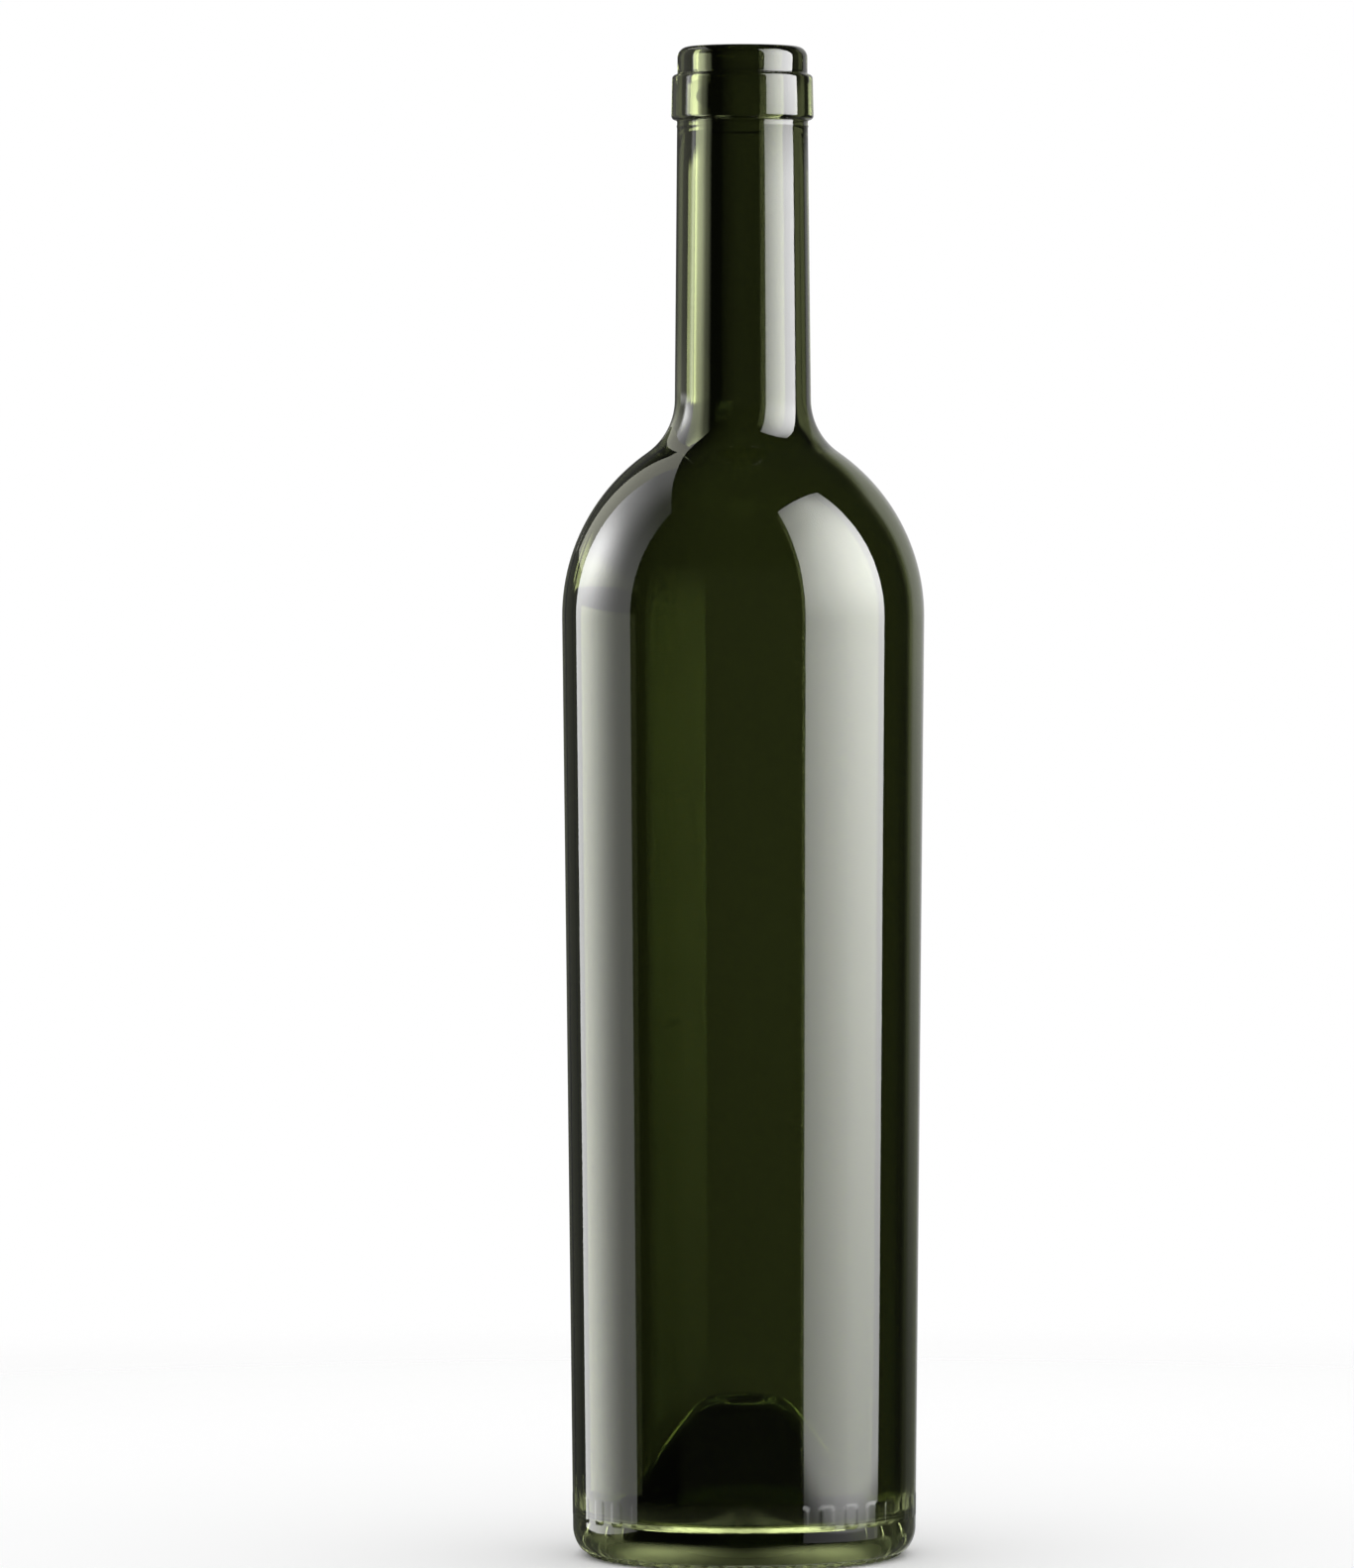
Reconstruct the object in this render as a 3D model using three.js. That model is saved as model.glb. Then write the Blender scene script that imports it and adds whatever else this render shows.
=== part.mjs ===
// A bordeaux wine bottle, empty and open: one hollow piece of dark green glass.
// It has a flat-band cork finish, a long neck, round shoulders, a body that narrows a little
// towards the foot, a rounded heel and a deep bell-shaped punt.
// Millimetres, +Z up. The origin is on the axis, in the plane that the bottle stands on.

import * as THREE from "three";

// Body
const overallHeight = 315;
const shoulderDiameter = 75.6; // the widest place
const mouthToShoulder = 119; // from the mouth down to where the straight side ends
const footDiameter = 71.6; // the straight side carried down to the standing plane
const heelRadius = 7; // the upper part of the heel's round
const heelTurn = THREE.MathUtils.degToRad(50); // how far round the heel that part goes
const wall = 2.9; // of the side and the shoulder

// Shoulder and neck
const shoulderRadius = 41.5;
const neckFilletRadius = 13.5; // the hollow curve from the shoulder into the neck
const neckWall = 4.4; // just under the collar
const neckSpread = 1.2; // how much wider the neck is, carried down to the crest of the shoulder

// Cork finish: a plain lip above a flat collar that is a little wider at its lower edge
const lipWall = 4.3;
const lipHeight = 5.8;
const lipEdgeRadius = 2.3;
const collarStandOut = 1.1; // how far the collar's upper edge stands out from the lip
const collarSpread = 0.4; // how much wider the collar is at its lower edge
const collarHeight = 9.5;
const collarEdgeRadius = 0.9;
const finishFilletRadius = 0.4; // in the corners above and below the collar

// Cork bore
const boreDiameter = 18.5; // at the mouth
const boreSpread = 0.8; // how much wider the bore is at the foot of the cork
const corkDepth = 45;
const boreEdgeRadius = 1;
const boreFilletRadius = 17; // the hollow curve from the bore into the shoulder, inside

// Base and punt
const puntHeight = 30; // from the standing plane up to the crown of the hollow
const standingRingWidth = 6.8; // from the side to the flank, both carried to the standing plane
const puntCrownDiameter = 12.6; // where the flank would meet the level of the crown
const puntCrownRadius = 8;
const puntWall = 4.3;
const standingEdgeRadius = 3; // from the heel into the standing ring
const puntEdgeRadius = 2; // from the standing ring into the punt
const troughRadius = 3; // the groove between the punt and the side, inside

// Fineness of the round faces
const roundSteps = 56;
const chordError = 0.07;

// A straight stretch of the outline from one point to the next. The outline is walked with the
// glass on the left, so the outward direction is a quarter turn to the right.
function straight(r0, z0, r1, z1) {
  const angle = Math.atan2(z1 - z0, r1 - r0) - Math.PI / 2;
  const outward = new THREE.Vector2(Math.cos(angle), Math.sin(angle));
  const distance = outward.x * r0 + outward.y * z0;
  return { angle, outward, distance };
}

// The same stretch on the far side of a wall, facing the other way.
function behind(line, thickness) {
  const outward = line.outward.clone().negate();
  return { angle: line.angle + Math.PI, outward, distance: thickness - line.distance };
}

// The point that lies a given way outside two straight stretches.
function meeting(first, second, way) {
  const a = first.outward;
  const b = second.outward;
  const cross = a.x * b.y - a.y * b.x;
  const p = first.distance + way;
  const q = second.distance + way;
  return new THREE.Vector2((p * b.y - q * a.y) / cross, (q * a.x - p * b.x) / cross);
}

const outline = [];

function addPoint(r, z) {
  const point = new THREE.Vector2(r, z);
  const last = outline.at(-1);
  if (!last || last.distanceTo(point) > 1e-6) outline.push(point);
}

function addArc(centre, radius, from, to) {
  const largestStep = 2 * Math.acos(1 - chordError / radius);
  const steps = Math.max(2, Math.ceil(Math.abs(to - from) / largestStep));
  for (let i = 0; i <= steps; i += 1) {
    const angle = from + ((to - from) * i) / steps;
    addPoint(centre.x + radius * Math.cos(angle), centre.y + radius * Math.sin(angle));
  }
}

// Rounds the corner between two straight stretches, whether it stands out or is hollow.
function addCorner(first, second, radius) {
  const difference = second.angle - first.angle;
  const turn = Math.atan2(Math.sin(difference), Math.cos(difference));
  const standsOut = turn > 0;
  const centre = meeting(first, second, standsOut ? -radius : radius);
  const from = standsOut ? first.angle : first.angle + Math.PI;
  addArc(centre, radius, from, from + turn);
}

// Diameters that follow from the bore and the foot
const boreDeepDiameter = boreDiameter + boreSpread;
const lipDiameter = boreDiameter + 2 * lipWall;
const collarTopDiameter = lipDiameter + 2 * collarStandOut;
const collarFootDiameter = collarTopDiameter + collarSpread;
const neckTopDiameter = boreDiameter + 2 * neckWall;
const neckFootDiameter = neckTopDiameter + neckSpread;
const puntMouthDiameter = footDiameter - 2 * standingRingWidth;

// Heights that follow from the mouth
const lipFoot = overallHeight - lipHeight;
const collarFoot = lipFoot - collarHeight;
const corkFoot = overallHeight - corkDepth;
const shoulderHeight = overallHeight - mouthToShoulder;
const shoulderCrest = shoulderHeight + shoulderRadius;

// Straight stretches outside, from the punt up to the lip
const crownBelow = straight(0, puntHeight, puntCrownDiameter / 2, puntHeight);
const flankBelow = straight(puntCrownDiameter / 2, puntHeight, puntMouthDiameter / 2, 0);
const standingRing = straight(puntMouthDiameter / 2, 0, footDiameter / 2, 0);
const side = straight(footDiameter / 2, 0, shoulderDiameter / 2, shoulderHeight);
const neck = straight(neckFootDiameter / 2, shoulderCrest, neckTopDiameter / 2, collarFoot);
const collarBelow = straight(neckTopDiameter / 2, collarFoot, collarFootDiameter / 2, collarFoot);
const collarFace = straight(collarFootDiameter / 2, collarFoot, collarTopDiameter / 2, lipFoot);
const collarAbove = straight(collarTopDiameter / 2, lipFoot, lipDiameter / 2, lipFoot);
const lipFace = straight(lipDiameter / 2, lipFoot, lipDiameter / 2, overallHeight);
const lipTop = straight(lipDiameter / 2, overallHeight, boreDiameter / 2, overallHeight);

// Straight stretches inside, from the mouth down to the punt
const bore = straight(boreDiameter / 2, overallHeight, boreDeepDiameter / 2, corkFoot);
const sideInside = behind(side, wall);
const flankAbove = behind(flankBelow, puntWall);
const crownAbove = behind(crownBelow, puntWall);

// The heel turns from the straight side in two rounds, the lower one tighter, down to the standing
// plane.
const radiiApart = heelRadius - standingEdgeRadius;
const heelCentreHeight = standingEdgeRadius + radiiApart * Math.sin(heelTurn);
const heelCentre = new THREE.Vector2(
  (side.distance - heelRadius - side.outward.y * heelCentreHeight) / side.outward.x,
  heelCentreHeight,
);
const standingEdgeCentre = new THREE.Vector2(
  heelCentre.x + radiiApart * Math.cos(heelTurn),
  standingEdgeRadius,
);

// The shoulder's round touches the straight side at the shoulder height. The hollow curve touches
// that round and the neck.
const shoulderStart = new THREE.Vector2(shoulderDiameter / 2, shoulderHeight);
const shoulderCentre = shoulderStart.clone().addScaledVector(side.outward, -shoulderRadius);
const centresApart = shoulderRadius + neckFilletRadius;
const outOfNeck = neck.distance + neckFilletRadius - neck.outward.dot(shoulderCentre);
const alongNeck = Math.sqrt(centresApart ** 2 - outOfNeck ** 2);
const upNeck = new THREE.Vector2(-neck.outward.y, neck.outward.x);
const filletCentre = shoulderCentre
  .clone()
  .addScaledVector(neck.outward, outOfNeck)
  .addScaledVector(upNeck, alongNeck);
const slope = filletCentre.clone().sub(shoulderCentre).angle();

// Inside, a hollow curve touches the bore and the inner side of the shoulder's round in the same way,
// so the glass grows thicker from the shoulder up into the neck.
const innerShoulderRadius = shoulderRadius - wall;
const outOfBore = bore.distance - boreFilletRadius - bore.outward.dot(shoulderCentre);
const alongBore = Math.sqrt((innerShoulderRadius + boreFilletRadius) ** 2 - outOfBore ** 2);
const upBore = new THREE.Vector2(bore.outward.y, -bore.outward.x);
const boreFilletCentre = shoulderCentre
  .clone()
  .addScaledVector(bore.outward, outOfBore)
  .addScaledVector(upBore, alongBore);
const innerSlope = boreFilletCentre.clone().sub(shoulderCentre).angle();

// The whole outline of the glass, from the axis under the punt, up the outside, over the lip and
// down the inside to the axis again.
addPoint(0, puntHeight);
addCorner(crownBelow, flankBelow, puntCrownRadius);
addCorner(flankBelow, standingRing, puntEdgeRadius);
addArc(standingEdgeCentre, standingEdgeRadius, standingRing.angle, -heelTurn);
addArc(heelCentre, heelRadius, -heelTurn, side.angle);
addArc(shoulderCentre, shoulderRadius, side.angle, slope);
addArc(filletCentre, neckFilletRadius, slope + Math.PI, neck.angle + Math.PI);
addCorner(neck, collarBelow, finishFilletRadius);
addCorner(collarBelow, collarFace, collarEdgeRadius);
addCorner(collarFace, collarAbove, collarEdgeRadius);
addCorner(collarAbove, lipFace, finishFilletRadius);
addCorner(lipFace, lipTop, lipEdgeRadius);
addCorner(lipTop, bore, boreEdgeRadius);
addArc(boreFilletCentre, boreFilletRadius, bore.angle + 2 * Math.PI, innerSlope + Math.PI);
addArc(shoulderCentre, innerShoulderRadius, innerSlope, side.angle);
addCorner(sideInside, flankAbove, troughRadius);
addCorner(flankAbove, crownAbove, puntCrownRadius + puntWall);
addPoint(0, puntHeight + puntWall);

const glass = new THREE.MeshStandardMaterial({ color: 0x2b3316, roughness: 0.04, metalness: 0 });
const glassBottle = new THREE.Mesh(new THREE.LatheGeometry(outline, roundSteps), glass);
glassBottle.name = "glass_bottle";
glassBottle.rotation.x = Math.PI / 2; // the lathe turns about Y, and the bottle stands along Z

const bottle = new THREE.Group();
bottle.add(glassBottle);

export default bottle;
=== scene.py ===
import bpy
import math
from mathutils import Euler, Matrix, Vector


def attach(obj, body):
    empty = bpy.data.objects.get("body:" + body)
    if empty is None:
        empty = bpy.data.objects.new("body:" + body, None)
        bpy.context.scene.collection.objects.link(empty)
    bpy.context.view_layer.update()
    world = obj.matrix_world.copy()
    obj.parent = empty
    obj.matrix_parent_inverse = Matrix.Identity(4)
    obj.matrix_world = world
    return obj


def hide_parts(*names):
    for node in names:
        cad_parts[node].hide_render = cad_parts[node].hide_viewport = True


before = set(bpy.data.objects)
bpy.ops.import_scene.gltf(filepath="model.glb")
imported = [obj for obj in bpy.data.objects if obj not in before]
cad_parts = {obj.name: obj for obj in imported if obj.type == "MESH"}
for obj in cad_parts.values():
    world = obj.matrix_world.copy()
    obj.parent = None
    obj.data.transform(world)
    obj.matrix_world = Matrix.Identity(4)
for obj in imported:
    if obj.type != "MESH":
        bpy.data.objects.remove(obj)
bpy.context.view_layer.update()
print("frame loaded, nodes:", sorted(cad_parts))

mm = 0.001
fullTurn = 2 * math.pi
white = (1, 1, 1, 1)

# The glass bottle's sizes in millimetres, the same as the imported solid's apart from the parting line
bottle = {
    "overallHeight": 315.0,
    "shoulderDiameter": 75.6,
    "mouthToShoulder": 119.0,
    "footDiameter": 71.6,
    "heelRadius": 7.0,
    "heelTurn": math.radians(50),
    "wall": 2.9,
    "shoulderRadius": 41.5,
    "neckFilletRadius": 13.5,
    "neckWall": 4.4,
    "neckSpread": 1.2,
    "lipWall": 4.3,
    "lipHeight": 5.8,
    "lipEdgeRadius": 2.3,
    "collarStandOut": 1.1,
    "collarSpread": 0.4,
    "collarHeight": 9.5,
    "collarEdgeRadius": 0.9,
    "finishFilletRadius": 0.4,
    "boreDiameter": 18.5,
    "boreSpread": 0.8,
    "corkDepth": 45.0,
    "boreEdgeRadius": 1.0,
    "boreFilletRadius": 17.0,
    "puntHeight": 30.0,
    "standingRingWidth": 6.8,
    "puntCrownDiameter": 12.6,
    "puntCrownRadius": 8.0,
    "puntWall": 4.3,
    "standingEdgeRadius": 3.0,
    "puntEdgeRadius": 2.0,
    "troughRadius": 3.0,
    "partingDrop": 1.3,  # from the collar down to the line where the neck ring of the mould ends
    "partingRise": 0.07,
    "partingHalfWidth": 0.3,
    "partingHalfTop": 0.135,
}

# What the mould leaves on the outside, in millimetres
mouldMarks = {
    "nubCount": 57,
    "nubRingRadius": 31.9,
    "nubHalfWidth": 1.2,
    "nubHalfLength": 1.75,
    "nubDepth": 0.5,
    "nubZoneTop": 1.6,
    "heelMarkCount": 38,
    "heelMarkHeight": 10.9,
    "heelMarkHalfWidth": 1.48,
    "heelMarkHalfLength": 2.4,
    "heelMarkCorner": 0.6,
    "heelMarkEdge": 0.19,
    "heelMarkRise": 0.05,
    "heelMarkGather": 0.7,  # how far the columns crowd towards the marks' edges
    "seamRise": 0.09,
    "seamHalfWidth": 0.5,
    "seamTurn": math.radians(12),
    "seamFoot": 9.0,
    "seamFade": 4.0,
    "seamTop": 298.0,
}

# How fine the mesh is, in millimetres
fineness = {
    "columns": 456,  # eight to each nub of the standing ring
    "outerSag": 0.008,  # how far a chord may lie off a round, outside
    "innerSag": 0.03,
    "longestStep": 15.0,
    "nubStep": 0.36,
    "nubReach": 2.2,  # how far to each side of the nubs' ring that step is used
    "markStep": 0.6,
    "markEndStep": 0.15,
    "markEndReach": 0.6,
    "sideDepth": 1.0,  # the side's zone begins this far inside the foot's radius
    "probe": 0.05,  # straight stretches are walked at this step
    "samePoint": 1e-4,
    "slack": 1e-6,
    "weld": 0.002,
}


def straightRun(r0, z0, r1, z1):
    angle = math.atan2(z1 - z0, r1 - r0) - math.pi / 2  # outward, with the glass on the left
    outward = Vector((math.cos(angle), math.sin(angle)))
    return {"angle": angle, "outward": outward, "distance": outward.dot(Vector((r0, z0)))}


def behindRun(run, thickness):
    return {
        "angle": run["angle"] + math.pi,
        "outward": -run["outward"],
        "distance": thickness - run["distance"],
    }


def meetingPoint(first, second, way):
    a, b = first["outward"], second["outward"]
    cross = a.x * b.y - a.y * b.x
    p, q = first["distance"] + way, second["distance"] + way
    return Vector(((p * b.y - q * a.y) / cross, (q * a.x - p * b.x) / cross))


def radiusAt(run, z, inset=0.0):
    return (run["distance"] - inset - run["outward"].y * z) / run["outward"].x


def arcPoints(centre, radius, start, end, sag):
    steps = max(2, math.ceil(abs(end - start) / (2 * math.acos(1 - sag / radius))))
    angles = [start + (end - start) * i / steps for i in range(steps + 1)]
    return [centre + radius * Vector((math.cos(a), math.sin(a))) for a in angles]


def cornerPoints(first, second, radius, sag):
    difference = second["angle"] - first["angle"]
    turn = math.atan2(math.sin(difference), math.cos(difference))
    centre = meetingPoint(first, second, -radius if turn > 0 else radius)
    start = first["angle"] if turn > 0 else first["angle"] + math.pi
    return arcPoints(centre, radius, start, start + turn, sag)


def touchingRound(centre, apart, run, way):  # the round above that touches a run and the round at centre
    outward = run["outward"]
    out = run["distance"] + way - outward.dot(centre)
    up = math.copysign(1, way) * Vector((-outward.y, outward.x))
    between = out * outward + math.sqrt(apart ** 2 - out ** 2) * up
    return centre + between, math.atan2(between.y, between.x)


def bottleRuns(s):
    top = s["overallHeight"]
    shoulderHeight = top - s["mouthToShoulder"]
    shoulderCrest = shoulderHeight + s["shoulderRadius"]
    lipFoot = top - s["lipHeight"]
    collarFoot = lipFoot - s["collarHeight"]
    corkFoot = top - s["corkDepth"]
    bore = s["boreDiameter"] / 2
    boreDeep = bore + s["boreSpread"] / 2
    lip = bore + s["lipWall"]
    collarTop = lip + s["collarStandOut"]
    collarWide = collarTop + s["collarSpread"] / 2
    neckTop = bore + s["neckWall"]
    neckWide = neckTop + s["neckSpread"] / 2
    foot = s["footDiameter"] / 2
    puntMouth = foot - s["standingRingWidth"]
    puntCrown = s["puntCrownDiameter"] / 2
    runs = {
        "crownBelow": straightRun(0, s["puntHeight"], puntCrown, s["puntHeight"]),
        "flankBelow": straightRun(puntCrown, s["puntHeight"], puntMouth, 0),
        "standingRing": straightRun(puntMouth, 0, foot, 0),
        "side": straightRun(foot, 0, s["shoulderDiameter"] / 2, shoulderHeight),
        "neck": straightRun(neckWide, shoulderCrest, neckTop, collarFoot),
        "collarBelow": straightRun(neckTop, collarFoot, collarWide, collarFoot),
        "collarFace": straightRun(collarWide, collarFoot, collarTop, lipFoot),
        "collarAbove": straightRun(collarTop, lipFoot, lip, lipFoot),
        "lipFace": straightRun(lip, lipFoot, lip, top),
        "lipTop": straightRun(lip, top, bore, top),
        "bore": straightRun(bore, top, boreDeep, corkFoot),
    }
    runs["sideInside"] = behindRun(runs["side"], s["wall"])
    runs["flankAbove"] = behindRun(runs["flankBelow"], s["puntWall"])
    runs["crownAbove"] = behindRun(runs["crownBelow"], s["puntWall"])
    return runs


def bottleOutline(s, fine):
    runs = bottleRuns(s)
    side, neck, bore = runs["side"], runs["neck"], runs["bore"]
    outer, inner = fine["outerSag"], fine["innerSag"]

    radiiApart = s["heelRadius"] - s["standingEdgeRadius"]
    heelZ = s["standingEdgeRadius"] + radiiApart * math.sin(s["heelTurn"])
    heelCentre = Vector((radiusAt(side, heelZ, s["heelRadius"]), heelZ))
    edgeR = heelCentre.x + radiiApart * math.cos(s["heelTurn"])
    edgeCentre = Vector((edgeR, s["standingEdgeRadius"]))

    shoulderStart = Vector((s["shoulderDiameter"] / 2, s["overallHeight"] - s["mouthToShoulder"]))
    shoulderRadius, neckFillet, boreFillet = s["shoulderRadius"], s["neckFilletRadius"], s["boreFilletRadius"]
    shoulderCentre = shoulderStart - shoulderRadius * side["outward"]
    innerShoulder = shoulderRadius - s["wall"]
    neckCentre, slope = touchingRound(shoulderCentre, shoulderRadius + neckFillet, neck, neckFillet)
    boreCentre, innerSlope = touchingRound(shoulderCentre, innerShoulder + boreFillet, bore, -boreFillet)

    def corner(first, second, radius, sag):
        return cornerPoints(runs[first], runs[second], radius, sag)

    points = [Vector((0, s["puntHeight"]))]
    points += corner("crownBelow", "flankBelow", s["puntCrownRadius"], inner)
    points += corner("flankBelow", "standingRing", s["puntEdgeRadius"], inner)
    ringAngle = runs["standingRing"]["angle"]
    points += arcPoints(edgeCentre, s["standingEdgeRadius"], ringAngle, -s["heelTurn"], outer)
    points += arcPoints(heelCentre, s["heelRadius"], -s["heelTurn"], side["angle"], outer)
    points += arcPoints(shoulderCentre, shoulderRadius, side["angle"], slope, outer)
    points += arcPoints(neckCentre, neckFillet, slope + math.pi, neck["angle"] + math.pi, outer)

    parting = s["overallHeight"] - s["lipHeight"] - s["collarHeight"] - s["partingDrop"]
    partingR = radiusAt(neck, parting)
    width, top, rise = s["partingHalfWidth"], s["partingHalfTop"], s["partingRise"]
    for shift, lift in ((-width, 0), (-top, rise), (top, rise), (width, 0)):
        points.append(Vector((partingR + lift, parting + shift)))

    finishCorners = (
        ("neck", "collarBelow", s["finishFilletRadius"]),
        ("collarBelow", "collarFace", s["collarEdgeRadius"]),
        ("collarFace", "collarAbove", s["collarEdgeRadius"]),
        ("collarAbove", "lipFace", s["finishFilletRadius"]),
        ("lipFace", "lipTop", s["lipEdgeRadius"]),
        ("lipTop", "bore", s["boreEdgeRadius"]),
    )
    for first, second, radius in finishCorners:
        points += corner(first, second, radius, outer)
    points += arcPoints(boreCentre, boreFillet, bore["angle"] + fullTurn, innerSlope + math.pi, inner)
    points += arcPoints(shoulderCentre, innerShoulder, innerSlope, side["angle"], inner)
    points += corner("sideInside", "flankAbove", s["troughRadius"], inner)
    points += corner("flankAbove", "crownAbove", s["puntCrownRadius"] + s["puntWall"], inner)
    points.append(Vector((0, s["puntHeight"] + s["puntWall"])))
    return points


def longestStepAt(point, s, marks, fine):
    onRing = point.y < marks["nubZoneTop"] and abs(point.x - marks["nubRingRadius"]) < fine["nubReach"]
    onSide = point.x > s["footDiameter"] / 2 - fine["sideDepth"]
    offMark = abs(point.y - marks["heelMarkHeight"])
    if onRing:
        return fine["nubStep"]
    if onSide and abs(offMark - marks["heelMarkHalfLength"]) < fine["markEndReach"]:
        return fine["markEndStep"]
    if onSide and offMark < marks["heelMarkHalfLength"]:
        return fine["markStep"]
    return fine["longestStep"]


def refinedOutline(points, s, marks, fine):
    kept = [points[0]]
    for point in points[1:]:
        gap = (point - kept[-1]).length
        if gap < fine["samePoint"]:
            continue
        start = kept[-1].copy()
        spans = max(1, math.ceil(gap / fine["probe"]))
        for i in range(1, spans):  # adds points only where the step would grow too long
            here = start.lerp(point, i / spans)
            if (here - kept[-1]).length >= longestStepAt(here, s, marks, fine) - fine["slack"]:
                kept.append(here)
        kept.append(point)
    return kept


outline = refinedOutline(bottleOutline(bottle, fineness), bottle, mouldMarks, fineness)
print("bottle outline:", len(outline), "points")


# Small helpers for node trees: a socket or a plain number goes in, a socket comes out
def feed(tree, socket, value):
    if isinstance(value, bpy.types.NodeSocket):
        tree.links.new(value, socket)
    else:
        socket.default_value = value


def mathNode(tree, operation, *values):
    node = tree.nodes.new("ShaderNodeMath")
    node.operation = operation
    for socket, value in zip(node.inputs, values):
        feed(tree, socket, value)
    return node.outputs[0]


def product(tree, first, *others):
    for other in others:
        first = mathNode(tree, "MULTIPLY", first, other)
    return first


def restOf(tree, share):
    return mathNode(tree, "SUBTRACT", 1.0, share)


def vectorNode(tree, operation, *values):
    node = tree.nodes.new("ShaderNodeVectorMath")
    node.operation = operation
    for socket, value in zip(node.inputs, values):
        feed(tree, socket, value)
    return node.outputs["Value"] if operation in ("LENGTH", "DOT_PRODUCT") else node.outputs[0]


def scaledVector(tree, vector, factor):
    node = tree.nodes.new("ShaderNodeVectorMath")
    node.operation = "SCALE"
    feed(tree, node.inputs[0], vector)
    feed(tree, node.inputs["Scale"], factor)
    return node.outputs[0]


def easedRange(tree, value, low, high, toLow=0.0, toHigh=1.0):
    node = tree.nodes.new("ShaderNodeMapRange")
    node.interpolation_type = "SMOOTHSTEP"
    names = ("Value", "From Min", "From Max", "To Min", "To Max")
    for name, item in zip(names, (value, low, high, toLow, toHigh)):
        feed(tree, node.inputs[name], item)
    return node.outputs[0]


def combined(tree, x, y, z):
    node = tree.nodes.new("ShaderNodeCombineXYZ")
    for socket, value in zip(node.inputs, (x, y, z)):
        feed(tree, socket, value)
    return node.outputs[0]


def separated(tree, vector):
    node = tree.nodes.new("ShaderNodeSeparateXYZ")
    tree.links.new(vector, node.inputs[0])
    return node.outputs


def flatLength(tree, x, y):
    return vectorNode(tree, "LENGTH", combined(tree, x, y, 0.0))


def mixedColour(tree, factor, first, second, blend="MIX"):
    node = tree.nodes.new("ShaderNodeMix")
    node.data_type = "RGBA"
    node.blend_type = blend
    tree.links.new(factor, node.inputs[0])
    colours = [socket for socket in node.inputs if socket.type == "RGBA"]
    for socket, value in zip(colours, (first, second)):
        feed(tree, socket, value)
    return next(socket for socket in node.outputs if socket.type == "RGBA")


def mixedShader(tree, factor, first, second):
    node = tree.nodes.new("ShaderNodeMixShader")
    for socket, value in zip(node.inputs, (factor, first, second)):
        tree.links.new(value, socket)
    return node.outputs[0]


# Green glass
greenGlass = {
    "paleGreen": (0.160, 0.183, 0.078, 1),
    "deepGreen": (0.144, 0.165, 0.070, 1),
    "ior": 1.5,
    "cords": {"scale": 22, "stretch": (1, 1, 0.25), "detail": 3},  # faint upright streaks in the melt
    "cordRange": (0.35, 0.65),
    "neckFrom": (0.222, 0.25),  # the glass grows thicker there, so its colour is deeper
    "neckTint": (0.8, 0.8, 0.8, 1),
    "smears": {"scale": 45, "stretch": (1, 1, 0.6), "detail": 4},  # handling leaves duller patches
    "smearRange": (0.45, 0.75),
    "smoothest": 0.004,
    "dullest": 0.022,
    "ringDullness": 0.5,  # the standing ring and the foot of the punt are stippled
    "ringTop": (0.0042, 0.0056),
    "ringRadius": (0.0328, 0.0334),
    "waves": {"scale": 55, "stretch": (1, 1, 0.5), "detail": 1},
    "waveDepth": 0.000008,
}


def greenGlassMaterial(g):
    material = bpy.data.materials.new("greenGlass")
    material.use_nodes = True
    tree = material.node_tree
    shader = tree.nodes["Principled BSDF"]
    place = tree.nodes.new("ShaderNodeTexCoord").outputs["Object"]
    x, y, z = separated(tree, place)

    def noise(pattern):
        mapping = tree.nodes.new("ShaderNodeMapping")
        mapping.inputs["Scale"].default_value = pattern["stretch"]
        tree.links.new(place, mapping.inputs["Vector"])
        node = tree.nodes.new("ShaderNodeTexNoise")
        node.inputs["Scale"].default_value = pattern["scale"]
        node.inputs["Detail"].default_value = pattern["detail"]
        tree.links.new(mapping.outputs[0], node.inputs["Vector"])
        return node.outputs["Fac"]

    streaks = easedRange(tree, noise(g["cords"]), *g["cordRange"])
    colour = mixedColour(tree, streaks, g["deepGreen"], g["paleGreen"])
    inNeck = easedRange(tree, z, *g["neckFrom"])
    colour = mixedColour(tree, inNeck, colour, g["neckTint"], "MULTIPLY")
    tree.links.new(colour, shader.inputs["Base Color"])

    dullness = easedRange(tree, noise(g["smears"]), *g["smearRange"], g["smoothest"], g["dullest"])
    underside = easedRange(tree, flatLength(tree, x, y), *g["ringRadius"], 1.0, 0.0)
    stipple = product(tree, underside, easedRange(tree, z, *g["ringTop"], g["ringDullness"], 0.0))
    tree.links.new(mathNode(tree, "MAXIMUM", dullness, stipple), shader.inputs["Roughness"])

    bump = tree.nodes.new("ShaderNodeBump")
    bump.inputs["Strength"].default_value = 1.0
    bump.inputs["Distance"].default_value = g["waveDepth"]
    tree.links.new(noise(g["waves"]), bump.inputs["Height"])
    tree.links.new(bump.outputs[0], shader.inputs["Normal"])

    shader.inputs["Metallic"].default_value = 0.0
    shader.inputs["IOR"].default_value = g["ior"]
    shader.inputs["Transmission Weight"].default_value = 1.0
    return material


glassMaterial = greenGlassMaterial(greenGlass)
print("material ready:", glassMaterial.name)

# The bottle: the outline turned about the axis, then nubs, heel marks and mould seams
turning = {
    "gatherFrom": (0.002, 0.006),  # metres up, where the columns begin to crowd towards the heel marks
    "gatherUntil": (0.016, 0.04),
    "puntRadius": 33.0,  # millimetres; inside these two the punt also faces outward, and has no marks
    "puntTop": 36.0,
    "nubRingEdge": (0.85, 1.25),  # in half lengths of a nub
}


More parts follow.
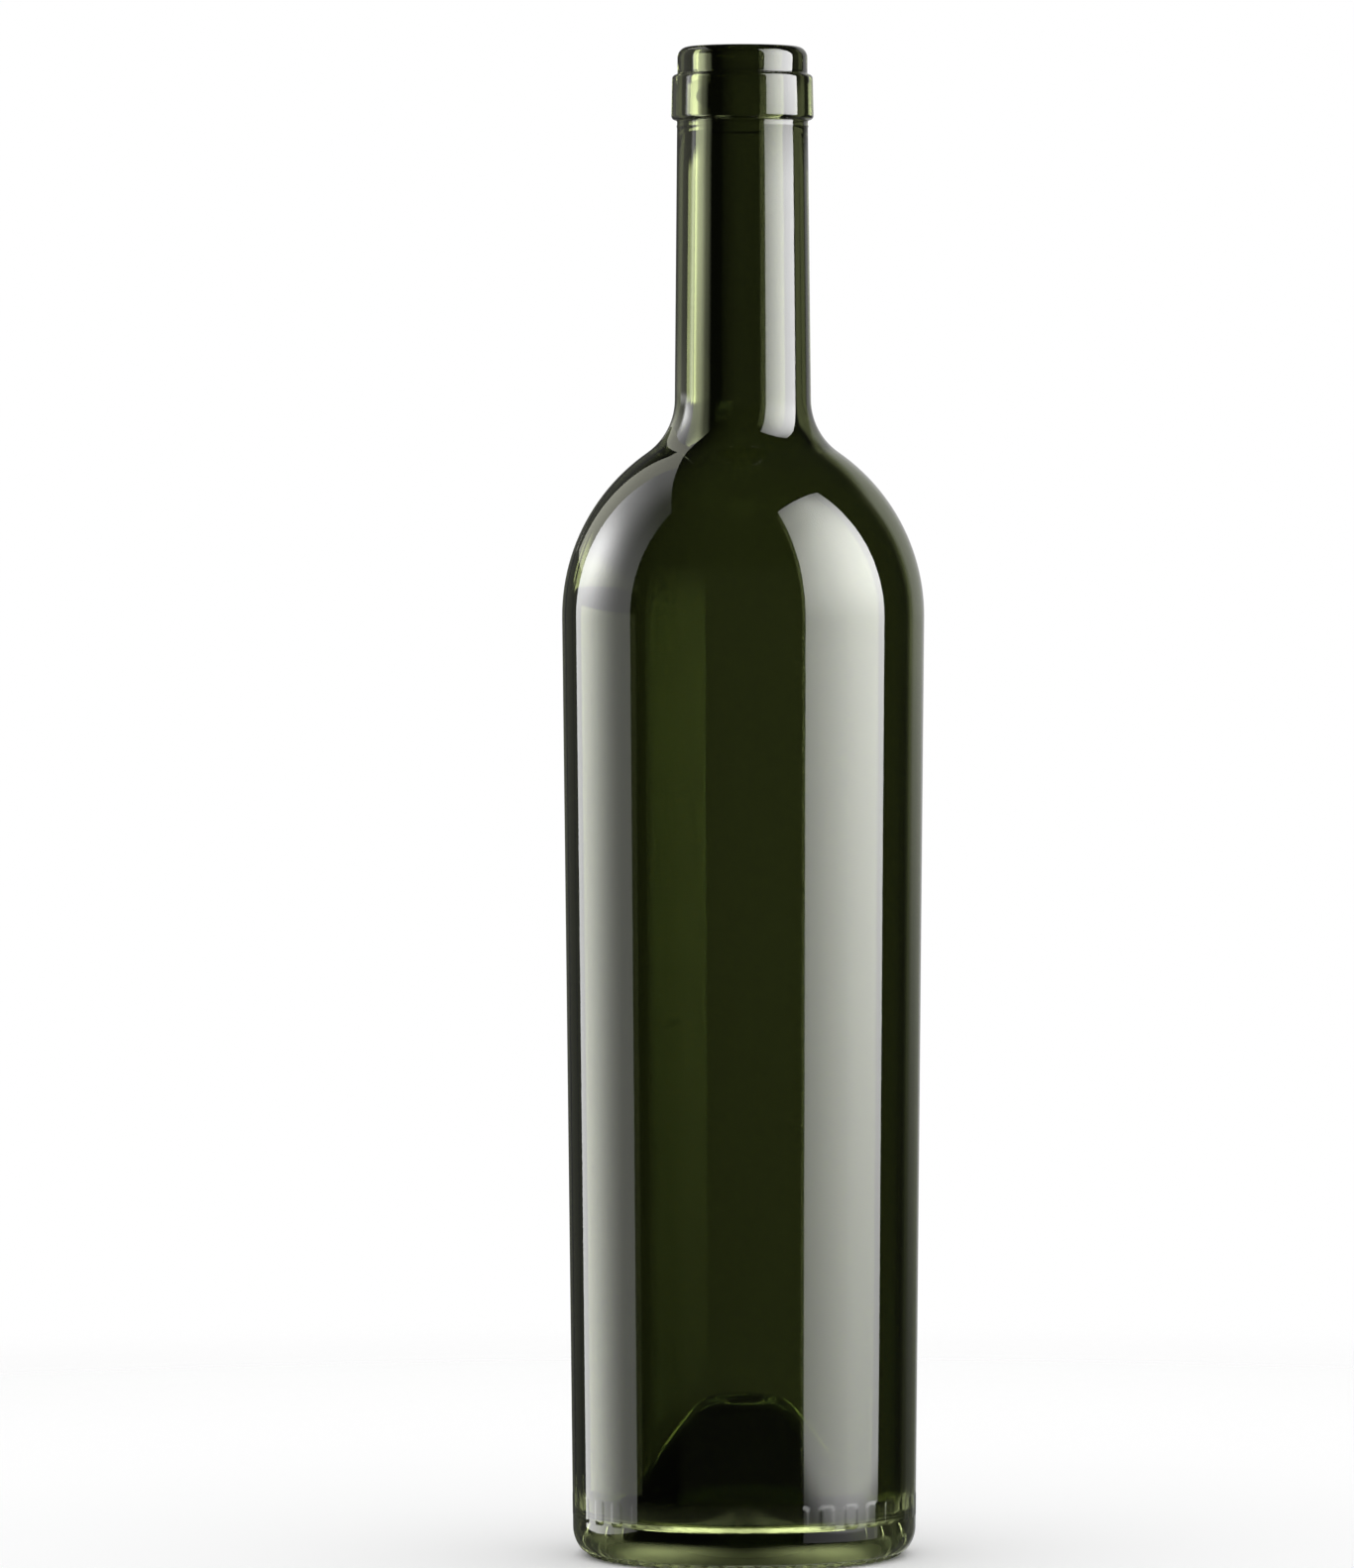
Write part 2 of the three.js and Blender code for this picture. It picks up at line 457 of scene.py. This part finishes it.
def geometryStep(tree, kind, geometry, **values):
    node = tree.nodes.new(kind)
    tree.links.new(geometry, node.inputs["Geometry"])
    for name, value in values.items():
        feed(tree, node.inputs[name], value)
    return node.outputs[0]


def turnedGrid(tree, given, t):
    size = tree.nodes.new("GeometryNodeAttributeDomainSize")
    size.component = "MESH"
    tree.links.new(given["Geometry"], size.inputs["Geometry"])
    rows = size.outputs["Point Count"]
    grid = tree.nodes.new("GeometryNodeMeshGrid")
    tree.links.new(mathNode(tree, "ADD", given["Columns"], 1.0), grid.inputs["Vertices X"])
    tree.links.new(rows, grid.inputs["Vertices Y"])

    index = tree.nodes.new("GeometryNodeInputIndex").outputs[0]
    column = mathNode(tree, "FLOOR", mathNode(tree, "DIVIDE", mathNode(tree, "ADD", index, 0.5), rows))
    row = mathNode(tree, "SUBTRACT", index, product(tree, column, rows))
    sample = tree.nodes.new("GeometryNodeSampleIndex")
    sample.data_type = "FLOAT_VECTOR"
    sample.domain = "POINT"
    tree.links.new(given["Geometry"], sample.inputs["Geometry"])
    tree.links.new(tree.nodes.new("GeometryNodeInputPosition").outputs[0], sample.inputs["Value"])
    tree.links.new(row, sample.inputs["Index"])
    outlineR, _, outlineZ = separated(tree, sample.outputs["Value"])

    even = product(tree, mathNode(tree, "DIVIDE", column, given["Columns"]), fullTurn)
    twice = product(tree, given["heelMarkCount"], 2.0)
    sway = mathNode(tree, "DIVIDE", mathNode(tree, "SINE", product(tree, even, twice)), twice)
    above = easedRange(tree, outlineZ, *t["gatherFrom"])
    below = easedRange(tree, outlineZ, *t["gatherUntil"], 1.0, 0.0)
    gather = product(tree, above, below, given["heelMarkGather"])
    angle = mathNode(tree, "MULTIPLY_ADD", sway, gather, even)
    x = product(tree, outlineR, mathNode(tree, "COSINE", angle))
    y = product(tree, outlineR, mathNode(tree, "SINE", angle))
    turned = combined(tree, x, y, outlineZ)
    spun = geometryStep(tree, "GeometryNodeSetPosition", grid.outputs["Mesh"], Position=turned)
    return geometryStep(tree, "GeometryNodeMergeByDistance", spun, Distance=fineness["weld"] * mm)


def markPlaces(tree, t):  # places in millimetres, and the way out of the glass
    place = tree.nodes.new("GeometryNodeInputPosition").outputs[0]
    normal = tree.nodes.new("GeometryNodeInputNormal").outputs[0]
    x, y, z = separated(tree, scaledVector(tree, place, 1 / mm))
    flat = combined(tree, x, y, 0.0)
    radius = vectorNode(tree, "LENGTH", flat)
    outward = mathNode(tree, "GREATER_THAN", vectorNode(tree, "DOT_PRODUCT", normal, flat), 0.0)
    offPunt = mathNode(
        tree, "MAXIMUM",
        mathNode(tree, "GREATER_THAN", radius, t["puntRadius"]),
        mathNode(tree, "GREATER_THAN", z, t["puntTop"]),
    )
    return {
        "normal": normal,
        "z": z,
        "radius": radius,
        "turn": mathNode(tree, "ARCTAN2", y, x),
        "outside": product(tree, outward, offPunt),
    }


def aroundFrom(tree, at, count):  # millimetres along the ring from the nearest of so many marks
    passed = product(tree, at["turn"], mathNode(tree, "DIVIDE", count, fullTurn))
    share = mathNode(tree, "FRACT", mathNode(tree, "ADD", passed, count))
    spacing = product(tree, mathNode(tree, "DIVIDE", fullTurn, count), at["radius"])
    return product(tree, mathNode(tree, "SUBTRACT", share, 0.5), spacing)


def nubRise(tree, given, at, t):  # cut back between the nubs, so their tops stay in the standing plane
    along = mathNode(tree, "DIVIDE", aroundFrom(tree, at, given["nubCount"]), given["nubHalfWidth"])
    offRing = mathNode(tree, "SUBTRACT", at["radius"], given["nubRingRadius"])
    across = mathNode(tree, "DIVIDE", offRing, given["nubHalfLength"])
    off = mathNode(tree, "ADD", product(tree, along, along), product(tree, across, across))
    dome = mathNode(tree, "SQRT", mathNode(tree, "MAXIMUM", restOf(tree, off), 0.0))
    ring = easedRange(tree, mathNode(tree, "ABSOLUTE", across), *t["nubRingEdge"], 1.0, 0.0)
    low = mathNode(tree, "LESS_THAN", at["z"], given["nubZoneTop"])
    return product(tree, ring, low, restOf(tree, dome), product(tree, given["nubDepth"], -1.0))


def heelMarkRise(tree, given, at):  # low upright bars with rounded corners
    corner = given["heelMarkCorner"]

    def pastStraight(off, half):
        straight = mathNode(tree, "SUBTRACT", half, corner)
        past = mathNode(tree, "SUBTRACT", mathNode(tree, "ABSOLUTE", off), straight)
        return mathNode(tree, "MAXIMUM", past, 0.0)

    aside = pastStraight(aroundFrom(tree, at, given["heelMarkCount"]), given["heelMarkHalfWidth"])
    fromMiddle = mathNode(tree, "SUBTRACT", at["z"], given["heelMarkHeight"])
    upward = pastStraight(fromMiddle, given["heelMarkHalfLength"])
    offEdge = mathNode(tree, "SUBTRACT", flatLength(tree, aside, upward), corner)
    inEdge = product(tree, given["heelMarkEdge"], -1.0)
    bar = easedRange(tree, offEdge, inEdge, given["heelMarkEdge"], 1.0, 0.0)
    return product(tree, bar, at["outside"], given["heelMarkRise"])


def seamRise(tree, given, at):  # two upright lines, opposite each other
    fromSeam = mathNode(tree, "SINE", mathNode(tree, "SUBTRACT", at["turn"], given["seamTurn"]))
    offSeam = mathNode(tree, "ABSOLUTE", product(tree, fromSeam, at["radius"]))
    ridge = easedRange(tree, offSeam, 0.0, given["seamHalfWidth"], 1.0, 0.0)
    fadeTop = mathNode(tree, "ADD", given["seamFoot"], given["seamFade"])
    fromFoot = easedRange(tree, at["z"], given["seamFoot"], fadeTop)
    toTop = mathNode(tree, "LESS_THAN", at["z"], given["seamTop"])
    return product(tree, ridge, at["outside"], product(tree, fromFoot, toTop), given["seamRise"])


def bottleTree(t):
    tree = bpy.data.node_groups.new("turnedBottle", "GeometryNodeTree")
    kinds = {"Geometry": "NodeSocketGeometry", "Columns": "NodeSocketInt"}
    kinds.update((name, "NodeSocketFloat") for name in mouldMarks)
    kinds["Material"] = "NodeSocketMaterial"
    for name, kind in kinds.items():
        tree.interface.new_socket(name, in_out="INPUT", socket_type=kind)
    tree.interface.new_socket("Geometry", in_out="OUTPUT", socket_type="NodeSocketGeometry")
    given = tree.nodes.new("NodeGroupInput").outputs
    result = tree.nodes.new("NodeGroupOutput")

    plain = turnedGrid(tree, given, t)
    at = markPlaces(tree, t)
    rise = mathNode(tree, "ADD", nubRise(tree, given, at, t), heelMarkRise(tree, given, at))
    rise = mathNode(tree, "ADD", rise, seamRise(tree, given, at))
    offset = scaledVector(tree, at["normal"], product(tree, rise, mm))
    marked = geometryStep(tree, "GeometryNodeSetPosition", plain, Offset=offset)
    smooth = geometryStep(tree, "GeometryNodeSetShadeSmooth", marked)
    realized = geometryStep(tree, "GeometryNodeRealizeInstances", smooth)
    painted = geometryStep(tree, "GeometryNodeSetMaterial", realized, Material=given["Material"])
    tree.links.new(painted, result.inputs[0])
    return tree


def bottlePiece():
    path = bpy.data.meshes.new("bottleOutline")
    places = [(point.x * mm, 0, point.y * mm) for point in outline]
    path.from_pydata(places, [(i, i + 1) for i in range(len(places) - 1)], [])
    piece = bpy.data.objects.new("glassBottle", path)
    bpy.context.scene.collection.objects.link(piece)
    modifier = piece.modifiers.new("turned", "NODES")
    modifier.node_group = bottleTree(turning)
    given = dict(mouldMarks, Columns=fineness["columns"], Material=glassMaterial)
    for item in modifier.node_group.interface.items_tree:
        if item.in_out == "INPUT" and item.name in given:
            modifier[item.identifier] = given[item.name]
    shown = piece.evaluated_get(bpy.context.evaluated_depsgraph_get())
    mesh = bpy.data.meshes.new_from_object(shown)
    piece.modifiers.clear()
    piece.data = mesh
    mesh.name = "glassBottle"
    return piece


glassBottle = bottlePiece()
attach(glassBottle, "root")
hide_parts("glass_bottle")
triangles = sum(len(p.vertices) - 2 for p in glassBottle.data.polygons)
print("bottle built:", len(glassBottle.data.vertices), "points,", triangles, "triangles")


# The stage: each panel and the floor is one flat face with a light of its own
def flatPiece(name, corners):
    mesh = bpy.data.meshes.new(name)
    mesh.from_pydata(corners, [], [list(range(len(corners)))])
    piece = bpy.data.objects.new(name, mesh)
    bpy.context.scene.collection.objects.link(piece)
    material = bpy.data.materials.new(name)
    material.use_nodes = True
    material.node_tree.nodes.clear()
    mesh.materials.append(material)
    return piece, material.node_tree


def glowing(tree, strength, tint=white):
    glow = tree.nodes.new("ShaderNodeEmission")
    glow.inputs["Color"].default_value = tint
    tree.links.new(strength, glow.inputs["Strength"])
    return glow.outputs[0]


def clearShader(tree):
    return tree.nodes.new("ShaderNodeBsdfTransparent").outputs[0]


def setSurface(tree, surface):
    tree.links.new(surface, tree.nodes.new("ShaderNodeOutputMaterial").inputs["Surface"])


# Floor: a pale round of tabletop that fades into the white behind it; through the foot of the glass it shows
# painted light, a glow brightest along the middle, and painted shade under the bottle
floorLook = {
    "radius": 0.6,
    "rimPoints": 96,
    "fade": (0.2, 0.57),
    "colour": (0.95, 0.95, 0.95, 1),
    "glow": 1.7,
    "middleGlow": 7.0,
    "middle": (0.014, 0.021),
    "centreGlow": 4.2,
    "centre": (0.002, 0.009),
    "shadedRadius": (0.018, 0.03),  # painted shade: little light gets under the bottle, and least of all at the back
    "shadedGlow": 0.06,
    "shadedFrom": (-0.012, 0.0),
    "shadedReach": (0.036, 0.04),
    "glowRadius": (0.05, 0.1),
}


def floorPiece(f):
    turns = [fullTurn * i / f["rimPoints"] for i in range(f["rimPoints"])]
    rim = [(f["radius"] * math.cos(turn), f["radius"] * math.sin(turn), 0) for turn in turns]
    floor, tree = flatPiece("floor", rim)
    place = tree.nodes.new("ShaderNodeTexCoord").outputs["Object"]
    x, y, _ = separated(tree, place)
    off = vectorNode(tree, "LENGTH", place)
    table = tree.nodes.new("ShaderNodeBsdfDiffuse")
    table.inputs["Color"].default_value = f["colour"]
    clear = clearShader(tree)
    plain = mixedShader(tree, easedRange(tree, off, *f["fade"]), table.outputs[0], clear)

    # painted light seen through the glass: brighter along the middle, dimmed to painted shade under the
    # bottle and behind it
    offMiddle = mathNode(tree, "ABSOLUTE", x)
    nearCentre = easedRange(tree, offMiddle, *f["centre"], f["centreGlow"], f["middleGlow"])
    fullGlow = easedRange(tree, offMiddle, *f["middle"], nearCentre, f["glow"])
    front = easedRange(tree, off, *f["shadedRadius"], f["shadedGlow"], fullGlow)
    near = easedRange(tree, off, *f["shadedReach"], 1.0, 0.0)
    behind = product(tree, easedRange(tree, y, *f["shadedFrom"]), near)
    lit = product(tree, front, restOf(tree, behind))
    glow = glowing(tree, mathNode(tree, "MAXIMUM", lit, f["shadedGlow"]))
    through = mixedShader(tree, easedRange(tree, off, *f["glowRadius"]), glow, clear)

    inGlass = tree.nodes.new("ShaderNodeLightPath").outputs["Is Transmission Ray"]
    setSurface(tree, mixedShader(tree, inGlass, plain, through))
    floor.visible_glossy = False


floorPiece(floorLook)

# Soft boxes: upright panels, each given by its two upright edges on plan, the near one first
softBoxes = {
    "rightBox": {
        "nearEdge": (0.586, -0.718), "farEdge": (0.913, 0.158), "foot": -0.15, "tops": (1.78, 1.54),
        "light": (1.55, 0.0), "change": (0.53, 0.95),  # from near to far, between shares of the width
        "fade": (1.09, 1.39), "fadeLeft": 1.57,
        "footFade": (-0.1, -0.078), "footLeft": 0.2,
        "hotLight": 14.1, "hotAcross": 0.93, "hotHeight": 0.48,
        "hotHalfAcross": 0.9, "hotBelow": 0.55, "hotAbove": 0.85,
    },
    "leftBox": {
        "nearEdge": (-0.876, -0.232), "farEdge": (-0.681, 0.598), "foot": -0.104, "tops": (1.335, 1.545),
        "light": (1.45, 4.13), "change": (0.15, 0.73),
        "fade": (0.3, 1.26), "fadeLeft": 0.3,
        "hotLight": 5.9, "hotAcross": 0.71, "hotHeight": 0.474,
        "hotHalfAcross": 0.28, "hotBelow": 0.207, "hotAbove": 0.186,
        "bodyTop": 0.236, "neckFade": (0.5, 0.4), "neckShare": 0.6,  # how it shows in the glass
    },
}
softBoxBounces = 3  # light that has gone further through the glass doesn't show the soft boxes

# Plain panels, each shown only in the glass or only on it; most have soft edges
plainPanels = {
    "leftWing": {  # carries the left box on for light that has gone through the neck
        "nearEdge": (-0.681, 0.598), "farEdge": (-0.48, 0.768), "foot": 0.238, "tops": (0.46, 0.46),
        "light": (2.6, 2.2), "change": (0.0, 1.0), "footShare": 1.4, "fullFrom": 0.29,
        "softTop": 0.09, "softFoot": 0.02, "bounces": (0, 3), "neckOnly": True, "inGlass": True,
    },
    "leftUpper": {  # a dim stretch beyond the left box, high up
        "nearEdge": (-0.681, 0.598), "farEdge": (-0.46, 0.785), "foot": 0.36, "tops": (1.545, 1.31),
        "light": (1.5, 1.28), "change": (0.0, 1.0), "inGlass": False, "tint": (1, 1, 0.85, 1),
    },
    "rightWing": {  # lights the back wall of the bottle
        "nearEdge": (0.2525, -0.4734), "farEdge": (0.519, -0.118), "foot": -0.05, "tops": (0.2085, 0.2065),
        "light": (16.0, 5.0), "change": (0.8, 1.0), "footShare": 0.22, "fullFrom": 0.2,
        "softTop": 0.008, "bounces": (5, 5), "inGlass": True, "tint": (1, 0.97, 1, 1),
    },
    "neckCard": {  # keeps the left box out of the neck's mirror image
        "nearEdge": (-0.0175, -0.0084), "farEdge": (-0.0177, 0.0065), "foot": 0.2405, "tops": (0.345, 0.345),
        "light": (0.35, 0.1), "change": (0.5, 0.95), "footShare": 1.6, "fullFrom": 0.26,
        "softEdge": 0.1, "softFoot": 0.003, "reach": 0.013, "inGlass": False, "tint": (1, 1, 0.9, 1),
    },
    "neckCardFoot": {
        "nearEdge": (-0.0175, -0.0064), "farEdge": (-0.0177, 0.0065), "foot": 0.2372,
        "tops": (0.2435, 0.2435), "light": (0.5, 0.25), "change": (0.5, 0.95),
        "footShare": 2.4, "fullFrom": 0.241,
        "softEdge": 0.15, "softTop": 0.003, "reach": 0.013, "inGlass": False, "tint": (1, 1, 0.9, 1),
    },
    "neckGlow": {  # softens the pale strip's right edge in the neck
        "nearEdge": (-0.0141, -0.0178), "farEdge": (-0.0166, -0.0096), "foot": 0.2375, "tops": (0.316, 0.316),
        "light": (1.7, 7.0), "change": (0.3, 0.678), "footShare": 0.6, "fullFrom": 0.285,
        "softEdge": 0.3, "softFoot": 0.005, "reach": 0.0125, "inGlass": False, "tint": (1, 1.08, 0.68, 1),
    },
    "hollowLeft": {  # light that has found its way into the punt, seen through the heel
        "nearEdge": (-0.002, -0.004), "farEdge": (-0.0205, -0.004), "foot": 0.0003, "tops": (0.012, 0.012),
        "light": (1.0, 13.0), "change": (0.0, 0.9),
        "softTop": 0.004, "bounces": (1, 3), "reach": 0.05, "inGlass": True,
    },
}
plainPanels["hollowRight"] = dict(
    plainPanels["hollowLeft"], nearEdge=(0.002, -0.004), farEdge=(0.0205, -0.004),
)
neckRayStart = 0.0112  # light from the neck starts at most this far from the axis, counted along its way


def uprightPanel(name, p):
    nearEdge, farEdge, foot = p["nearEdge"], p["farEdge"], p["foot"]
    topNear, topFar = p["tops"]
    corners = [(*nearEdge, foot), (*farEdge, foot), (*farEdge, topFar), (*nearEdge, topNear)]
    panel, tree = flatPiece(name, corners)
    uv = panel.data.uv_layers.new(name="UVMap")
    for loop, place in zip(uv.data, ((0, 0), (1, 0), (1, 1), (0, 1))):
        loop.uv = place
    panel.visible_camera = False
    panel.visible_diffuse = False
    return panel, tree


def panelPlaces(tree):
    place = tree.nodes.new("ShaderNodeTexCoord").outputs
    x, y, height = separated(tree, place["Object"])
    path = tree.nodes.new("ShaderNodeLightPath").outputs
    start = mathNode(tree, "SUBTRACT", flatLength(tree, x, y), path["Ray Length"])
    return {
        "across": separated(tree, place["UV"])[0],
        "height": height,
        "path": path,
        "fromNeck": mathNode(tree, "LESS_THAN", start, neckRayStart),
    }


def softBoxLight(tree, at, b):
    across, height = at["across"], at["height"]
    spread = easedRange(tree, across, *b["change"], *b["light"])
    upward = easedRange(tree, height, *b["fade"], 1.0, b["fadeLeft"])
    rise = mathNode(tree, "SUBTRACT", height, b["hotHeight"])
    above = mathNode(tree, "GREATER_THAN", rise, 0.0)
    halfHeight = mathNode(tree, "MULTIPLY_ADD", above, b["hotAbove"] - b["hotBelow"], b["hotBelow"])
    offUp = mathNode(tree, "DIVIDE", rise, halfHeight)
    aside = mathNode(tree, "SUBTRACT", across, b["hotAcross"])
    offAcross = mathNode(tree, "DIVIDE", aside, b["hotHalfAcross"])
    off = mathNode(tree, "MULTIPLY_ADD", offUp, offUp, product(tree, offAcross, offAcross))
    hot = product(tree, mathNode(tree, "EXPONENT", product(tree, off, -1.0)), b["hotLight"])
    whole = mathNode(tree, "MULTIPLY_ADD", spread, upward, hot)
    if "footFade" in b:
        whole = product(tree, whole, easedRange(tree, height, *b["footFade"], b["footLeft"], 1.0))
    return whole


def softBoxShown(tree, at, b):  # all of it on the glass, and in the glass only near the surface
    share = mathNode(tree, "LESS_THAN", at["path"]["Ray Depth"], softBoxBounces + 0.5)
    if "neckShare" in b:
        inBody = mathNode(tree, "LESS_THAN", at["height"], b["bodyTop"])
        inNeck = product(tree, easedRange(tree, at["height"], *b["neckFade"]), at["fromNeck"], b["neckShare"])
        share = product(tree, share, mathNode(tree, "MAXIMUM", inBody, inNeck))
    return restOf(tree, product(tree, at["path"]["Is Transmission Ray"], restOf(tree, share)))


def softBox(name, b):
    _, tree = uprightPanel(name, b)
    at = panelPlaces(tree)
    glow = glowing(tree, softBoxLight(tree, at, b))
    setSurface(tree, mixedShader(tree, softBoxShown(tree, at, b), clearShader(tree), glow))


def panelLimits(tree, at, p):
    across, height, path = at["across"], at["height"], at["path"]
    limits = []
    if "bounces" in p:
        first, last = p["bounces"]
        limits.append(mathNode(tree, "GREATER_THAN", path["Ray Depth"], first - 0.5))
        limits.append(mathNode(tree, "LESS_THAN", path["Ray Depth"], last + 0.5))
    if "reach" in p:
        limits.append(mathNode(tree, "LESS_THAN", path["Ray Length"], p["reach"]))
    if p.get("neckOnly"):
        limits.append(at["fromNeck"])
    if "softTop" in p:
        topNear, topFar = p["tops"]
        top = mathNode(tree, "MULTIPLY_ADD", across, topFar - topNear, topNear)
        under = mathNode(tree, "DIVIDE", mathNode(tree, "SUBTRACT", top, height), p["softTop"])
        limits.append(easedRange(tree, under, 0.0, 1.0))
    if "softFoot" in p:
        limits.append(easedRange(tree, height, p["foot"], p["foot"] + p["softFoot"]))
    if "softEdge" in p:
        limits.append(easedRange(tree, across, 0.0, p["softEdge"]))
    return limits


def plainPanel(name, p):
    panel, tree = uprightPanel(name, p)
    at = panelPlaces(tree)
    light = easedRange(tree, at["across"], *p["change"], *p["light"])
    if "footShare" in p:
        fromFoot = easedRange(tree, at["height"], p["foot"], p["fullFrom"], p["footShare"], 1.0)
        light = product(tree, light, fromFoot)
    surface = glowing(tree, light, p.get("tint", white))
    limits = panelLimits(tree, at, p)
    if limits:
        surface = mixedShader(tree, product(tree, *limits), clearShader(tree), surface)
    setSurface(tree, surface)
    panel.visible_transmission = p["inGlass"]
    panel.visible_glossy = not p["inGlass"]


for name, box in softBoxes.items():
    softBox(name, box)
for name, panel in plainPanels.items():
    plainPanel(name, panel)
print("floor and soft boxes placed")


def radiansOf(low, high):
    return math.radians(low), math.radians(high)


# White behind for the camera; glass sees a pale wall behind in a dim room
studio = {
    "wall": 0.6,
    "room": 0.02,
    "wallLeft": radiansOf(-40, -5),  # where the wall fades in, in degrees right of straight ahead
    "wallRight": radiansOf(38, 46),  # and out
    "mirrorLeft": radiansOf(-8, 0),  # the mirror image on the glass shows it dim left of there
    "mirrorShare": 0.12,
    "mirrorEnd": radiansOf(-60, -45),
    "sideFrom": radiansOf(11, 22),  # the right part is dimmer, most of all low down
    "sideHeight": (-0.11, 0.02),
    "sideShare": (0.2, 0.8),
    "lowHeight": (-0.12, 0.0),
    "lowShare": 0.72,
    "topHeight": (0.4, 0.55),
    "facing": radiansOf(40, 50),  # half of the pale zone behind the camera, for back views
    "facingShare": 0.7,
    "ambient": 1.1,
}


def studioWorld(w):
    world = bpy.data.worlds.new("studio")
    bpy.context.scene.world = world
    world.use_nodes = True
    tree = world.node_tree
    tree.nodes.clear()
    x, y, z = separated(tree, tree.nodes.new("ShaderNodeTexCoord").outputs["Generated"])
    path = tree.nodes.new("ShaderNodeLightPath").outputs
    onGlass, throughGlass = path["Is Glossy Ray"], path["Is Transmission Ray"]

    aside = mathNode(tree, "ARCTAN2", x, y)
    through = easedRange(tree, aside, *w["wallLeft"])
    mirrorEnd = easedRange(tree, aside, *w["mirrorEnd"])
    mirrored = product(tree, mirrorEnd, easedRange(tree, aside, *w["mirrorLeft"], w["mirrorShare"], 1.0))
    change = product(tree, mathNode(tree, "SUBTRACT", mirrored, through), onGlass)
    leftPart = mathNode(tree, "ADD", through, change)
    rightEnd = easedRange(tree, aside, *w["wallRight"], 1.0, 0.0)
    sideShare = easedRange(tree, z, *w["sideHeight"], *w["sideShare"])
    ahead = product(tree, leftPart, rightEnd, easedRange(tree, aside, *w["sideFrom"], 1.0, sideShare))
    turned = mathNode(tree, "SUBTRACT", math.pi, mathNode(tree, "ABSOLUTE", aside))
    facing = product(tree, easedRange(tree, turned, *w["facing"], w["facingShare"], 0.0), throughGlass)
    low = easedRange(tree, z, *w["lowHeight"], w["lowShare"], 1.0)
    upright = product(tree, low, easedRange(tree, z, *w["topHeight"], 1.0, 0.0))
    pale = product(tree, mathNode(tree, "MAXIMUM", ahead, facing), upright)
    seen = mathNode(tree, "MULTIPLY_ADD", pale, w["wall"] - w["room"], w["room"])

    def light(strength):
        node = tree.nodes.new("ShaderNodeBackground")
        node.inputs["Color"].default_value = white
        feed(tree, node.inputs["Strength"], strength)
        return node.outputs[0]

    inGlass = mathNode(tree, "MAXIMUM", onGlass, throughGlass)
    room = mixedShader(tree, inGlass, light(w["ambient"]), light(seen))
    out = tree.nodes.new("ShaderNodeOutputWorld")
    tree.links.new(mixedShader(tree, path["Is Camera Ray"], room, light(1.0)), out.inputs["Surface"])


studioWorld(studio)

# Camera: a long lens a little above the middle of the bottle
cameraLook = {
    "place": (0, -1.9, 0.2157),
    "lens": 208.9,
    "sensorWidth": 36.0,
    "pitch": math.radians(1.64),
    "yaw": math.radians(0.418),
    "roll": math.radians(-0.087),
}
scene = bpy.context.scene
camera = bpy.data.objects.new("camera", bpy.data.cameras.new("camera"))
scene.collection.objects.link(camera)
camera.data.lens = cameraLook["lens"]
camera.data.sensor_width = cameraLook["sensorWidth"]
camera.location = cameraLook["place"]
aim = Euler((math.pi / 2 - cameraLook["pitch"], 0, cameraLook["yaw"])).to_matrix()
camera.rotation_euler = (aim @ Matrix.Rotation(cameraLook["roll"], 3, "Z")).to_euler()
scene.camera = camera

scene.view_settings.view_transform = "Standard"
scene.cycles.max_bounces = 24
scene.cycles.glossy_bounces = 16
scene.cycles.transmission_bounces = 24
print("world and camera set")
